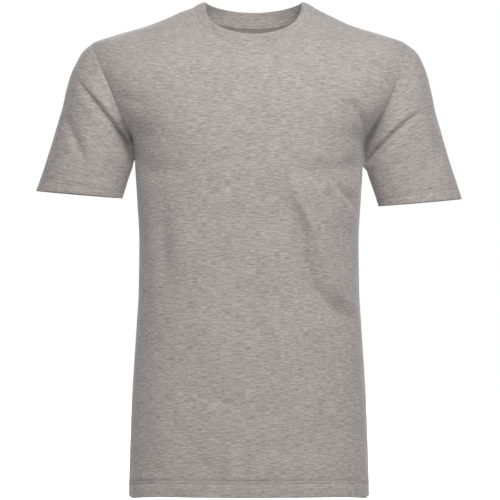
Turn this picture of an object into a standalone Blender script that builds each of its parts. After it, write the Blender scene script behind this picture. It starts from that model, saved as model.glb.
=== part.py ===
"""Crew neck t-shirt in single jersey, filled out as it is when worn, with no wearer in it.

Five pieces are cut and sewn: a front, a back, two short sleeves and a rib neckband. Each is an open sheet
laid on one smooth form and given its thickness by Solidify. Units are metres and +Z is up. The origin is
midway between the shoulders at the height of the neck points, and the front faces -Y. "Drop" is the distance
below the neck points. Left and right are the wearer's, so the left sleeve is at +X.
"""

import math
from collections import namedtuple

import bmesh
import bpy
import numpy as np

# Cloth
JERSEY_WALL = 0.0012
RIB_WALL = 0.0018
SIDE_GAP = 0.0009  # between front and back at their outer faces; the walls lean together under it
ARMHOLE_GAP = 0.0006  # between the body and a sleeve, measured where the cloth turns over the shoulder
NECK_GAP = 0.0008  # between the body and the neckband

# Body
BODY_SQUARENESS = 2.4  # exponent of the body's oval sections: 2 is an ellipse, more is squarer
HEM_FRONT_LIFT = 0.009  # the hem is this much higher at centre front than at the side seams
HEM_LIFT_SHAPE = 6  # exponent of that lift: more keeps the hem level for longer before it drops at the sides
ARMPIT_DROP = 0.205
ARMPIT_X = 0.170
SHOULDER_TIP_DROP = 0.063
SHOULDER_TIP_X = 0.232

# Neck
NECK_CENTRE_X = 0.007
NECK_SEAM_HALF_WIDTH = 0.0885
NECK_SEAM_FRONT_DROP = 0.0705
NECK_SEAM_BACK_DROP = 0.0295
RIM_HALF_WIDTH = 0.0710
RIM_FRONT_DEPTH = 0.0680
RIM_BACK_DEPTH = 0.0600
RIM_FRONT_DROP = 0.0525
RIM_BACK_DROP = 0.0100
RIM_FRONT_SHAPE = 0.82  # exponents of the rim's dip in front and behind: under 1 is a squarer scoop
RIM_BACK_SHAPE = 1.7
NECK_POINT_ROUNDING = 0.12  # softens the turn from front to back at the neck points
BAND_BELLY = 0.0012  # the rib swells this far between its seam and its rim

# Sleeve
LEFT_SLEEVE_EXTRA = 0.012  # the left sleeve hangs this much lower at its cuff
LEFT_CUFF_OUT = 0.0045
CAP_BLEND_RINGS = 4  # rings over which the armhole's shape turns into the sleeve's oval

# Mesh density
NECK_COLUMNS = 14
SHOULDER_COLUMNS = 7
BODY_ROWS = 13
ARMHOLE_ROWS = 12
BAND_ROWS = 3

# The body's sections, from the hem to the neck points: how far out the sides, the front and the back are.
Section = namedtuple("Section", "drop centre half_width front back")
SECTIONS = (
    Section(0.7285, 0.000, 0.1770, 0.112, 0.108),
    Section(0.650, 0.000, 0.1748, 0.111, 0.105),
    Section(0.590, 0.000, 0.1725, 0.110, 0.103),
    Section(0.530, 0.000, 0.1690, 0.110, 0.101),
    Section(0.470, 0.000, 0.1650, 0.111, 0.099),
    Section(0.427, 0.000, 0.1625, 0.112, 0.098),
    Section(0.353, 0.000, 0.1615, 0.115, 0.100),
    Section(0.294, 0.000, 0.1645, 0.118, 0.105),
    Section(0.232, 0.000, 0.1685, 0.120, 0.111),
    Section(0.205, 0.000, 0.1705, 0.120, 0.114),
    Section(0.165, 0.000, 0.2000, 0.116, 0.116),
    Section(0.125, 0.000, 0.2260, 0.107, 0.113),
    Section(0.098, 0.000, 0.2375, 0.096, 0.107),
    Section(0.080, 0.000, 0.2380, 0.084, 0.101),
    Section(0.063, 0.000, 0.2320, 0.070, 0.094),
    Section(0.050, 0.000, 0.1985, 0.0555, 0.086),
    Section(0.036, 0.001, 0.1530, 0.042, 0.076),
    Section(0.025, 0.003, 0.1265, 0.0317, 0.057),
    Section(0.014, 0.004, 0.1030, 0.0210, 0.031),
    Section(0.008, 0.007, 0.0885, 0.0130, 0.015),
    Section(0.000, 0.007, 0.0700, 0.0060, 0.005),
)

# The sleeve's rings, from the armhole to the cuff. The left sleeve also gets the extra length above.
# Each ring runs from its outer point to its inner one, and bows to the front and back between them.
Ring = namedtuple("Ring", "outer_x outer_drop inner_x inner_drop front back")
RINGS = (
    Ring(0.2320, 0.063, 0.1700, 0.205, 0.057, 0.060),
    Ring(0.2440, 0.073, 0.1700, 0.211, 0.058, 0.061),
    Ring(0.2530, 0.088, 0.1698, 0.217, 0.058, 0.061),
    Ring(0.2620, 0.107, 0.1696, 0.223, 0.058, 0.061),
    Ring(0.2690, 0.131, 0.1696, 0.230, 0.057, 0.060),
    Ring(0.2745, 0.155, 0.1708, 0.240, 0.056, 0.058),
    Ring(0.2815, 0.178, 0.1736, 0.250, 0.054, 0.056),
    Ring(0.2890, 0.203, 0.1770, 0.260, 0.052, 0.054),
    Ring(0.2970, 0.229, 0.1802, 0.270, 0.050, 0.052),
    Ring(0.3055, 0.255, 0.1834, 0.280, 0.049, 0.051),
    Ring(0.3135, 0.278, 0.1862, 0.289, 0.048, 0.050),
)

# The largest folds, each a soft trough (or a ridge, where depth is below zero) along a straight run.
# x0, drop0 is where it starts and x1, drop1 where it ends, seen from the front.
Fold = namedtuple("Fold", "x0 drop0 x1 drop1 half_width depth")
FRONT_FOLDS = (
    Fold(0.045, 0.255, 0.140, 0.475, 0.017, 0.0035),
    Fold(0.080, 0.265, 0.158, 0.440, 0.015, -0.0025),
    Fold(0.120, 0.250, 0.165, 0.320, 0.012, 0.0025),
)
BACK_FOLDS = (
    Fold(-0.125, 0.300, 0.060, 0.400, 0.018, 0.0035),
    Fold(0.130, 0.280, -0.020, 0.360, 0.016, 0.0030),
    Fold(0.040, 0.480, -0.060, 0.640, 0.020, 0.0030),
)

CLOTH_COLOUR = (0.36, 0.345, 0.33, 1.0)
RIB_COLOUR = (0.34, 0.325, 0.31, 1.0)


def smooth_curve(at, values, where):
    """A curve through the rows of a table that never overshoots them, read at each place in where."""
    widths = np.diff(at)
    slopes = np.diff(values) / widths
    product = slopes[:-1] * slopes[1:]
    total = np.where(product > 0, slopes[:-1] + slopes[1:], 1.0)
    inner = np.where(product > 0, 2 * product / total, 0.0)
    tangents = np.concatenate([slopes[:1], inner, slopes[-1:]])
    index = np.clip(np.searchsorted(at, where) - 1, 0, len(widths) - 1)
    t = (where - at[index]) / widths[index]
    rise = values[index + 1] - values[index]
    start, end = tangents[index] * widths[index], tangents[index + 1] * widths[index]
    return values[index] + start * t + (3 * rise - 2 * start - end) * t**2 + (start + end - 2 * rise) * t**3


def section(column, drop):
    """One column of SECTIONS at each drop."""
    rows = sorted(SECTIONS)
    at = np.array([row.drop for row in rows])
    values = np.array([getattr(row, column) for row in rows])
    return smooth_curve(at, values, np.clip(drop, at[0], at[-1]))


def form_depth(x, drop, side):
    """How far the form's surface is in front of, or behind, the side seams' plane."""
    reach = np.abs(x - section("centre", drop)) / section("half_width", drop)
    bow = np.clip(1 - np.clip(reach, 0, 1) ** BODY_SQUARENESS, 0, 1) ** (1 / BODY_SQUARENESS)
    return section(side, drop) * bow


def shoulder_drop(x):
    """The drop of the shoulder line at x: where the form's sections are exactly that wide."""
    drops = np.linspace(0, SHOULDER_TIP_DROP, 400)
    sign = np.where(x > 0, 1, -1)
    found = np.empty_like(x)
    for side in (-1, 1):
        edge = side * section("centre", drops) + section("half_width", drops)
        here = sign == side
        found[here] = np.interp(np.abs(x[here]), edge, drops)
    return found


def rounded(sine):
    """0 at the neck points and 1 at centre front and back, with no crease between the two."""
    soft = NECK_POINT_ROUNDING
    return (np.sqrt(sine**2 + soft**2) - soft) / (math.sqrt(1 + soft**2) - soft)


def neck_angles():
    """From the right neck point round to the left one."""
    return np.linspace(math.pi, 0, NECK_COLUMNS + 1)


def neck_seam_drop(angle, side, half_width):
    """The drop of the neck seam at an angle round the neck."""
    point = shoulder_drop(NECK_CENTRE_X + half_width * np.sign(np.cos(angle)))
    lowest = {"front": NECK_SEAM_FRONT_DROP, "back": NECK_SEAM_BACK_DROP}[side]
    return point + (lowest - point) * rounded(np.sin(angle))


def body_columns():
    """Where the body's columns of points meet the top edge: x as a share of the shoulder tip's."""
    reach = NECK_SEAM_HALF_WIDTH + NECK_GAP
    neck = (NECK_CENTRE_X + reach * np.cos(neck_angles())) / SHOULDER_TIP_X
    turn = np.linspace(0, 1, SHOULDER_COLUMNS + 1)[1:]
    right_start, left_start = math.asin(-neck[0]), math.asin(neck[-1])
    right = -np.sin(right_start + (math.pi / 2 - right_start) * turn)[::-1]
    left = np.sin(left_start + (math.pi / 2 - left_start) * turn)
    return np.concatenate([right, neck, left])


def top_drops(side):
    """The drop of the body's top edge at each column: shoulder seam, neck seam, shoulder seam."""
    x = body_columns() * SHOULDER_TIP_X
    drops = shoulder_drop(x)
    neck = slice(SHOULDER_COLUMNS, SHOULDER_COLUMNS + NECK_COLUMNS + 1)
    drops[neck] = neck_seam_drop(neck_angles(), side, NECK_SEAM_HALF_WIDTH + NECK_GAP)
    return drops


def armhole_share():
    """How far up the armhole each of its rows is, closer together at the armpit and at the shoulder."""
    return (1 - np.cos(math.pi * np.linspace(0, 1, ARMHOLE_ROWS + 1))) / 2


def armhole_x(drop):
    """The armhole is a straight line from the shoulder tip to the armpit, seen from the front."""
    return np.interp(drop, [SHOULDER_TIP_DROP, ARMPIT_DROP], [SHOULDER_TIP_X, ARMPIT_X])


def fold_depth(x, drop, folds):
    """How far the cloth sinks at each point because of the folds."""
    sunk = np.zeros_like(x)
    for fold in folds:
        run = np.array([fold.x1 - fold.x0, fold.drop1 - fold.drop0])
        length = np.hypot(*run)
        along = ((x - fold.x0) * run[0] + (drop - fold.drop0) * run[1]) / length**2
        aside = ((x - fold.x0) * run[1] - (drop - fold.drop0) * run[0]) / length
        fade = np.sin(math.pi * np.clip(along, 0, 1)) ** 2
        sunk += fold.depth * fade * np.exp(-((aside / fold.half_width) ** 2))
    return sunk


def body_points(side):
    """Rows of points from the hem up to the shoulder and neck seams, each from the right to the left."""
    share = body_columns()
    lift = HEM_FRONT_LIFT if side == "front" else 0.0
    hem_drops = SECTIONS[0].drop - lift * (1 - share**HEM_LIFT_SHAPE)
    rows = []
    for up in np.linspace(0, 1, BODY_ROWS + 1)[:-1]:
        drops = hem_drops + (ARMPIT_DROP - hem_drops) * up
        rows.append((section("half_width", drops) * share, drops))
    for up in armhole_share():
        drops = ARMPIT_DROP + (top_drops(side) - ARMPIT_DROP) * up
        edge = ARMPIT_DROP + (SHOULDER_TIP_DROP - ARMPIT_DROP) * up
        rows.append((armhole_x(edge) * share, drops))
    x, drop = (np.array(part) for part in zip(*rows))
    depth = form_depth(x, drop, side) + SIDE_GAP / 2
    depth -= fold_depth(x, drop, FRONT_FOLDS if side == "front" else BACK_FOLDS)
    y = -depth if side == "front" else depth
    return np.stack([x, y, -drop], axis=-1)


def ring_sizes(extra_drop, cuff_out):
    """RINGS as an array, lengthened towards the cuff."""
    sizes = np.array(RINGS)
    down = np.linspace(0, 1, len(RINGS))
    sizes[:, [1, 3]] += extra_drop * down[:, None]
    sizes[:, 2] += cuff_out * down
    return sizes


def sleeve_points(wearer_side):
    """Rings of points from the armhole down to the cuff, each once round and back to its first point."""
    left = wearer_side == "left"
    sizes = ring_sizes(LEFT_SLEEVE_EXTRA if left else 0.0, LEFT_CUFF_OUT if left else 0.0)
    around = np.linspace(0, 2 * math.pi, 2 * ARMHOLE_ROWS + 1)
    outward, forward = (1 + np.cos(around)) / 2, np.sin(around)
    rows = []
    for number, (outer_x, outer_drop, inner_x, inner_drop, front, back) in enumerate(sizes):
        x = inner_x + (outer_x - inner_x) * outward
        drop = inner_drop + (outer_drop - inner_drop) * outward
        oval = np.where(forward > 0, front, back) * np.abs(forward)
        armhole_drop = ARMPIT_DROP + (SHOULDER_TIP_DROP - ARMPIT_DROP) * outward
        seam = np.where(
            forward > 0,
            form_depth(armhole_x(armhole_drop), armhole_drop, "front"),
            form_depth(armhole_x(armhole_drop), armhole_drop, "back"),
        )
        blend = min(1.0, number / CAP_BLEND_RINGS)
        blend = blend * blend * (3 - 2 * blend)
        depth = seam + (oval - seam) * blend
        rows.append(np.stack([x + ARMHOLE_GAP, np.where(forward > 0, -depth, depth), -drop], axis=-1))
    points = np.array(rows)
    if not left:
        points[..., 0] *= -1
        points = points[:, ::-1]
    return points


def band_points():
    """Rings of points from the neck seam up to the rim, each once round and back to its first point."""
    front, back = neck_angles(), neck_angles()[::-1][1:]
    angle = np.concatenate([front, -back])
    in_front = np.concatenate([np.ones(len(front), bool), np.zeros(len(back), bool)])
    swing = np.abs(np.sin(angle))
    swing[np.isclose(swing, 0)] = 0
    seam_drop = np.where(
        in_front,
        neck_seam_drop(np.abs(angle), "front", NECK_SEAM_HALF_WIDTH),
        neck_seam_drop(np.abs(angle), "back", NECK_SEAM_HALF_WIDTH),
    )
    seam_x = NECK_CENTRE_X + NECK_SEAM_HALF_WIDTH * np.cos(angle)
    seam_y = np.where(
        in_front, -form_depth(seam_x, seam_drop, "front"), form_depth(seam_x, seam_drop, "back")
    )
    rim_x = NECK_CENTRE_X + RIM_HALF_WIDTH * np.cos(angle)
    rim_y = np.where(in_front, -RIM_FRONT_DEPTH, RIM_BACK_DEPTH) * swing
    rim_drop = np.where(
        in_front, RIM_FRONT_DROP * swing**RIM_FRONT_SHAPE, RIM_BACK_DROP * swing**RIM_BACK_SHAPE
    )
    rows = []
    for up in np.linspace(0, 1, BAND_ROWS):
        belly = 1 + BAND_BELLY / RIM_HALF_WIDTH * math.sin(math.pi * up)
        x = NECK_CENTRE_X + ((seam_x + (rim_x - seam_x) * up) - NECK_CENTRE_X) * belly
        y = (seam_y + (rim_y - seam_y) * up) * belly
        rows.append(np.stack([x, y, -(seam_drop + (rim_drop - seam_drop) * up)], axis=-1))
    return np.array(rows)


def cloth_material(name, colour):
    material = bpy.data.materials.new(name)
    material.use_nodes = True
    shader = material.node_tree.nodes["Principled BSDF"]
    shader.inputs["Base Color"].default_value = colour
    shader.inputs["Roughness"].default_value = 0.9
    shader.inputs["Metallic"].default_value = 0.0
    return material


def cloth_piece(name, points, wall, material, collection, tube=False):
    """A grid laid on the points, closed along its first and last columns if it is a tube, with a wall."""
    rows, columns = points.shape[:2]
    shape = bmesh.new()
    bmesh.ops.create_grid(shape, x_segments=columns - 1, y_segments=rows - 1, size=1)
    for vertex in shape.verts:
        column = round((vertex.co.x + 1) / 2 * (columns - 1))
        row = round((vertex.co.y + 1) / 2 * (rows - 1))
        vertex.co = points[row, column]
    if tube:
        bmesh.ops.remove_doubles(shape, verts=shape.verts[:], dist=0.00005)
    mesh = bpy.data.meshes.new(name)
    shape.to_mesh(mesh)
    shape.free()
    mesh.shade_smooth()
    mesh.materials.append(material)
    piece = bpy.data.objects.new(name, mesh)
    collection.objects.link(piece)
    solid = piece.modifiers.new("wall", "SOLIDIFY")
    solid.thickness = wall
    solid.offset = -1
    solid.use_even_offset = True
    return piece


def main():
    for leftover in list(bpy.data.objects):
        bpy.data.objects.remove(leftover)
    collection = bpy.data.collections.new("crew_neck_t_shirt")
    bpy.context.scene.collection.children.link(collection)
    jersey = cloth_material("jersey", CLOTH_COLOUR)
    rib = cloth_material("rib", RIB_COLOUR)
    cloth_piece("front_panel", body_points("front"), JERSEY_WALL, jersey, collection)
    cloth_piece("back_panel", body_points("back")[:, ::-1], JERSEY_WALL, jersey, collection)
    for wearer_side in ("left", "right"):
        points = sleeve_points(wearer_side)
        cloth_piece(wearer_side + "_sleeve", points, JERSEY_WALL, jersey, collection, tube=True)
    cloth_piece("neckband", band_points(), RIB_WALL, rib, collection, tube=True)


main()
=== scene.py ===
"""Crew neck t-shirt in grey marl jersey, filled out as worn: the looks of its panels, sleeves and neckband.

Sizes are in metres, +Z is up and the front faces -Y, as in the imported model. "Drop" is the distance below the
neck points. Left and right are the wearer's, so the left sleeve is at +X.
"""

import math
from collections import namedtuple

import bpy
import numpy as np
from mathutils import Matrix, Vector, noise


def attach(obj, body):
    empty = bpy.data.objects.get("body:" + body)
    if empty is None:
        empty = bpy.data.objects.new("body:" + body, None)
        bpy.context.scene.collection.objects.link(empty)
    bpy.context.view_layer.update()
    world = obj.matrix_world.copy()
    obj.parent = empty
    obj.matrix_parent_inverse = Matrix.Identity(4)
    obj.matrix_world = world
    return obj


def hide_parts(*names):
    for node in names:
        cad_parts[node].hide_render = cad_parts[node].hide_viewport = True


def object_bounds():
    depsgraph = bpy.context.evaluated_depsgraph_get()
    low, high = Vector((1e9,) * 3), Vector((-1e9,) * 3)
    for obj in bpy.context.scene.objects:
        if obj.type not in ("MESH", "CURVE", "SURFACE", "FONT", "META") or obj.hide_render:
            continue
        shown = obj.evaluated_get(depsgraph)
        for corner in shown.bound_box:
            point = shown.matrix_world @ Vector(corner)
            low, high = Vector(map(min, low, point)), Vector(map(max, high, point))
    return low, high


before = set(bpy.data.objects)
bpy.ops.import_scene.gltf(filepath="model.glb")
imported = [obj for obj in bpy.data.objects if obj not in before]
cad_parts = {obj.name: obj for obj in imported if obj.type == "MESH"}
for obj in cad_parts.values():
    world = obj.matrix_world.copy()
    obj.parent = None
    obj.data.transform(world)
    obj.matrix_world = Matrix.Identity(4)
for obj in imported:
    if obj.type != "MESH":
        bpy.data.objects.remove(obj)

bl_info = {
    "name": "Crew neck t-shirt",
    "version": (1, 0, 0),
    "blender": (4, 5, 0),
    "location": "3D View > Sidebar > T-shirt",
    "description": "Builds a worn crew neck t-shirt in marl jersey, with rib neckband, seams and hems",
    "category": "Add Mesh",
}

CAD_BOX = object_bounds()

# The form that the cloth lies on
BODY_SQUARENESS = 2.4  # exponent of the body's oval sections: 2 is an ellipse, more is squarer
HEM_FRONT_LIFT = 0.009
HEM_LIFT_SHAPE = 6
ARMPIT_DROP = 0.205
ARMPIT_X = 0.170
SHOULDER_TIP_DROP = 0.063
SHOULDER_TIP_X = 0.232
NECK_CENTRE_X = 0.007
NECK_SEAM_HALF_WIDTH = 0.0885
NECK_SEAM_DROP = {"front": 0.0705, "back": 0.0295}
RIM_HALF_WIDTH = 0.0710
RIM_DEPTH = {"front": 0.0680, "back": 0.0600}
RIM_DROP = {"front": 0.0525, "back": 0.0100}
RIM_SHAPE = {"front": 0.82, "back": 1.7}
NECK_POINT_ROUNDING = 0.12  # softens the turn from front to back at the neck points
LEFT_SLEEVE_EXTRA = 0.012  # the left sleeve hangs this much lower at its cuff
LEFT_CUFF_OUT = 0.0045
LEFT_ARMHOLE_BOW = 0.009
SLEEVE_TOUCH_DROP = {"left": 0.250, "right": 0.238}  # down to here each sleeve lies against the body
SLEEVE_LENGTH = 0.205  # along its middle, which the rows of the cloth are spread over
CAP_BLEND = 0.4  # share of the sleeve over which the armhole's shape turns into an oval

# The body's sections, from the hem to the neck points: how far out the sides, the front and the back are.
Section = namedtuple("Section", "drop centre half_width front back")
SECTIONS = [Section(*row) for row in (
    (0.7285, 0.000, 0.1770, 0.112, 0.108),
    (0.650, 0.000, 0.1748, 0.111, 0.105),
    (0.590, 0.000, 0.1725, 0.110, 0.103),
    (0.530, 0.000, 0.1690, 0.110, 0.101),
    (0.470, 0.000, 0.1650, 0.111, 0.099),
    (0.427, 0.000, 0.1625, 0.112, 0.098),
    (0.353, 0.000, 0.1615, 0.115, 0.100),
    (0.294, 0.000, 0.1645, 0.118, 0.105),
    (0.232, 0.000, 0.1685, 0.120, 0.111),
    (0.205, 0.000, 0.1705, 0.120, 0.114),
    (0.165, 0.000, 0.2000, 0.116, 0.116),
    (0.125, 0.000, 0.2260, 0.107, 0.113),
    (0.098, 0.000, 0.2375, 0.096, 0.107),
    (0.080, 0.000, 0.2380, 0.084, 0.101),
    (0.063, 0.000, 0.2320, 0.070, 0.094),
    (0.050, 0.000, 0.1985, 0.0555, 0.086),
    (0.036, 0.001, 0.1530, 0.042, 0.076),
    (0.025, 0.003, 0.1265, 0.0317, 0.057),
    (0.014, 0.004, 0.1030, 0.0210, 0.031),
    (0.008, 0.007, 0.0885, 0.0130, 0.015),
    (0.000, 0.007, 0.0700, 0.0060, 0.005),
)]

# The sleeve's rings, from the armhole to the cuff, for the left sleeve seen from the front.
RINGS = (  # outer x and drop, inner x and drop, front, back
    (0.2320, 0.063, 0.1700, 0.205, 0.057, 0.060),
    (0.2440, 0.073, 0.1700, 0.211, 0.058, 0.061),
    (0.2530, 0.088, 0.1698, 0.217, 0.058, 0.061),
    (0.2620, 0.107, 0.1696, 0.223, 0.058, 0.061),
    (0.2690, 0.131, 0.1696, 0.230, 0.057, 0.060),
    (0.2745, 0.155, 0.1708, 0.240, 0.056, 0.058),
    (0.2815, 0.178, 0.1736, 0.250, 0.054, 0.056),
    (0.2890, 0.203, 0.1770, 0.260, 0.052, 0.054),
    (0.2970, 0.229, 0.1802, 0.270, 0.050, 0.052),
    (0.3055, 0.255, 0.1834, 0.280, 0.049, 0.051),
    (0.3135, 0.278, 0.1862, 0.289, 0.048, 0.050),
)

# Each fold sinks the cloth along a smooth line of (x, drop) points, seen from the front or, on the back,
# through the shirt. Its depths are spread evenly from its start to its end, and a ridge has depths below zero.
# Sharp is 0 for a soft round fold and 1 for a pinched crease. Lean above zero makes it wider on the left of a
# walk from its start to its end, and below zero on the right.
Fold = namedtuple("Fold", "line half_width depths sharp lean", defaults=(0.0, 0.0))


def folds(*rows):
    return [Fold(*row) for row in rows]


FRONT_FOLDS = folds(
    # the long drag line from under the left chest round to the side, with its ridge beside it
    (
        ((0.05, 0.276), (0.073, 0.325), (0.083, 0.376), (0.103, 0.427), (0.134, 0.457), (0.158, 0.476)),
        0.0165, (0.003, 0.012, 0.014, 0.015, 0.012, 0.002), 0.25, -0.35,
    ),
    (
        ((0.063, 0.272), (0.089, 0.33), (0.112, 0.386), (0.134, 0.432), (0.156, 0.456)),
        0.007, (-0.0014, -0.006, -0.0064, -0.0054, 0),
    ),
    (
        ((0.104, 0.252), (0.126, 0.268), (0.146, 0.292), (0.158, 0.31)),
        0.006, (0, 0.0082, 0.0092, 0.0024), 0.35, 0.2,
    ),
    (((0.12, 0.3), (0.146, 0.35), (0.157, 0.405)), 0.01, (0, 0.0028, 0)),
    # the break under the chest, on both sides
    (((-0.158, 0.246), (-0.1, 0.252), (-0.04, 0.246)), 0.015, (0.0036, 0.0034, 0)),
    (((0.045, 0.246), (0.095, 0.254), (0.156, 0.244)), 0.014, (0, 0.0056, 0.0056)),
    (((0.086, 0.262), (0.11, 0.272), (0.14, 0.262)), 0.008, (0, -0.0016, 0)),
    # down the right side, just in front of the seam
    (((-0.128, 0.262), (-0.127, 0.33), (-0.122, 0.4), (-0.118, 0.47)), 0.013, (0, 0.0038, 0.0036, 0)),
    (((-0.104, 0.28), (-0.1, 0.35), (-0.096, 0.43)), 0.013, (0, -0.0016, 0)),
    # soft folds low on the front
    (((-0.084, 0.562), (-0.035, 0.584), (0.012, 0.597)), 0.011, (0, 0.0028, 0), 0.2),
    (((0.018, 0.446), (0.036, 0.486), (0.057, 0.528)), 0.011, (0, -0.0026, 0)),
    (((0.002, 0.456), (0.019, 0.496), (0.04, 0.54)), 0.01, (0, 0.002, 0)),
    (((0.086, 0.562), (0.108, 0.588), (0.13, 0.616)), 0.011, (0, -0.0026, 0)),
    (((-0.132, 0.596), (-0.09, 0.64), (-0.06, 0.69)), 0.013, (0, 0.0022, 0)),
    (((-0.03, 0.64), (0.03, 0.648), (0.085, 0.676)), 0.012, (0, 0.0024, 0)),
    (((-0.062, 0.664), (-0.052, 0.69), (-0.046, 0.716)), 0.011, (0, 0.0034, 0.003)),
    (((-0.03, 0.672), (-0.022, 0.7)), 0.01, (-0.001, -0.0018)),
    # round the left armhole
    (
        ((0.13, 0.152), (0.151, 0.159), (0.161, 0.17), (0.168, 0.186), (0.17, 0.206)),
        0.006, (0, 0.0044, 0.0064, 0.009, 0.006), 0.5,
    ),
    (((0.126, 0.146), (0.146, 0.148), (0.16, 0.156)), 0.007, (0, -0.0022, 0)),
    # round the right armhole
    (((-0.2, 0.142), (-0.172, 0.15), (-0.14, 0.152)), 0.009, (0.0014, 0.003, 0), 0.1),
    (((-0.184, 0.176), (-0.166, 0.184), (-0.146, 0.188)), 0.006, (0.002, 0.0012, 0), 0.2),
    # fine wrinkles under the right shoulder, and soft ones below the neckband
    (((-0.192, 0.094), (-0.168, 0.098), (-0.142, 0.106)), 0.005, (0, 0.0014, 0), 0.2),
    (((-0.188, 0.108), (-0.162, 0.112), (-0.136, 0.12)), 0.006, (0, 0.0014, 0), 0.2),
    (((-0.056, 0.096), (-0.034, 0.112), (-0.014, 0.118)), 0.009, (0, 0.0011, 0)),
    (((0.045, 0.096), (0.066, 0.086), (0.084, 0.07)), 0.008, (0, 0.001, 0)),
    (((0.12, 0.084), (0.152, 0.09), (0.184, 0.104)), 0.009, (0, 0.0012, 0)),
)
BACK_FOLDS = folds(
    # drag lines from the shoulder blades in to the small of the back
    (
        ((-0.164, 0.236), (-0.118, 0.268), (-0.074, 0.322), (-0.04, 0.366)),
        0.011, (0.0029, 0.009, 0.0087, 0), 0.3, 0.2,
    ),
    (
        ((0.166, 0.232), (0.124, 0.272), (0.084, 0.33), (0.046, 0.386)),
        0.0115, (0.0029, 0.0096, 0.009, 0), 0.3, -0.2,
    ),
    (((-0.158, 0.286), (-0.112, 0.334), (-0.06, 0.398)), 0.01, (0.0014, 0.007, 0), 0.2),
    (((0.158, 0.296), (0.12, 0.348), (0.078, 0.414)), 0.01, (0.0014, 0.0064, 0), 0.2),
    (((-0.158, 0.262), (-0.11, 0.302), (-0.058, 0.366)), 0.009, (0, -0.0038, 0)),
    (((0.158, 0.266), (0.116, 0.312), (0.074, 0.374)), 0.009, (0, -0.0038, 0)),
    # the slack over the waist
    (((-0.102, 0.418), (-0.02, 0.436), (0.084, 0.426)), 0.013, (0, 0.0064, 0), 0.15),
    (((-0.066, 0.456), (0.03, 0.478), (0.116, 0.474)), 0.013, (0, 0.0049, 0), 0.1),
    (((0.052, 0.5), (0, 0.566), (-0.066, 0.64)), 0.015, (0, 0.0049, 0)),
    (((0.126, 0.552), (0.098, 0.612), (0.062, 0.68)), 0.013, (0, 0.0043, 0)),
    (((-0.136, 0.552), (-0.116, 0.622), (-0.1, 0.69)), 0.014, (0, 0.0043, 0)),
    # beside the armholes
    (((-0.202, 0.14), (-0.164, 0.158), (-0.122, 0.172)), 0.009, (0.0043, 0.0058, 0), 0.3),
    (((0.202, 0.146), (0.16, 0.17), (0.114, 0.188)), 0.009, (0.0043, 0.0055, 0), 0.3),
    # across the shoulders
    (((-0.15, 0.086), (-0.08, 0.094), (-0.02, 0.082)), 0.011, (0, 0.0026, 0)),
    (((0.04, 0.088), (0.1, 0.098), (0.16, 0.092)), 0.011, (0, 0.0026, 0)),
)
SLEEVE_FOLDS = {
    ("left", "front"): folds(
        (
            ((0.258, 0.161), (0.239, 0.172), (0.225, 0.182), (0.198, 0.206), (0.184, 0.22), (0.172, 0.236)),
            0.0046, (0, 0.0042, 0.0074, 0.0104, 0.015, 0.015), 0.6, 0.35,
        ),
        (((0.25, 0.158), (0.222, 0.176), (0.196, 0.2)), 0.007, (0, -0.0026, -0.001), 0.1),
        (((0.258, 0.17), (0.243, 0.19), (0.23, 0.212)), 0.006, (0, 0.0026, 0), 0.3, 0.2),
        (((0.276, 0.196), (0.272, 0.23), (0.268, 0.268)), 0.011, (0, 0.0018, 0)),
        (((0.216, 0.226), (0.226, 0.25), (0.23, 0.28)), 0.012, (0, 0.0016, 0)),
    ),
    ("left", "back"): folds(
        (((0.26, 0.148), (0.222, 0.176), (0.182, 0.218)), 0.0064, (0, 0.0056, 0.009), 0.5, 0.3),
        (((0.27, 0.184), (0.236, 0.208), (0.2, 0.24)), 0.008, (0, 0.0038, 0.002), 0.2),
        (((0.242, 0.226), (0.236, 0.252), (0.23, 0.284)), 0.011, (0, 0.0022, 0)),
    ),
    ("right", "front"): folds(
        (
            ((-0.256, 0.11), (-0.236, 0.135), (-0.221, 0.152), (-0.208, 0.168), (-0.195, 0.183), (-0.18, 0.206),
             (-0.171, 0.228)),
            0.0044, (0, 0.0042, 0.0072, 0.009, 0.012, 0.017, 0.016), 0.65, -0.35,
        ),
        (((-0.248, 0.104), (-0.224, 0.136), (-0.2, 0.166)), 0.0072, (0, -0.0032, -0.0016), 0.1),
        (((-0.266, 0.122), (-0.238, 0.158), (-0.204, 0.2)), 0.008, (0, -0.0014, 0)),
        (
            ((-0.272, 0.166), (-0.262, 0.186), (-0.25, 0.212), (-0.236, 0.244)),
            0.01, (0, 0.0052, 0.005, 0), 0.15, 0.2,
        ),
        (((-0.256, 0.172), (-0.241, 0.204), (-0.222, 0.244)), 0.009, (0, -0.0034, 0)),
        (((-0.206, 0.226), (-0.21, 0.25), (-0.222, 0.276)), 0.011, (0, 0.0016, 0)),
    ),
    ("right", "back"): folds(
        (((-0.256, 0.136), (-0.22, 0.17), (-0.18, 0.212)), 0.0064, (0, 0.0056, 0.009), 0.5, -0.3),
        (((-0.268, 0.192), (-0.236, 0.214), (-0.202, 0.244)), 0.0085, (0, 0.0036, 0.0018), 0.2),
        (((-0.248, 0.228), (-0.252, 0.25), (-0.254, 0.276)), 0.011, (0, 0.0022, 0)),
    ),
}

# The deep folds where a sleeve and the body press together, shared by the cloth on both sides of the armhole.
# Their depths are shares of the way in to the side seams' plane.
ARMHOLE_FOLDS = {
    "left": folds(
        (
            ((0.2165, 0.11), (0.2085, 0.14), (0.196, 0.165), (0.183, 0.188), (0.174, 0.206), (0.1705, 0.222),
             (0.17, 0.243)),
            0.0068, (0, 0.05, 0.18, 0.58, 1, 1.1, 1), 1,
        ),
    ),
    "right": folds(
        (((-0.204, 0.128), (-0.193, 0.153), (-0.184, 0.175), (-0.178, 0.192)), 0.0054, (0, 0.03, 0.1, 0.24), 1),
        (
            ((-0.198, 0.181), (-0.1895, 0.194), (-0.181, 0.206), (-0.174, 0.218), (-0.169, 0.232)),
            0.0056, (0, 0.55, 1.05, 1.15, 1.05), 1,
        ),
    ),
}

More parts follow.
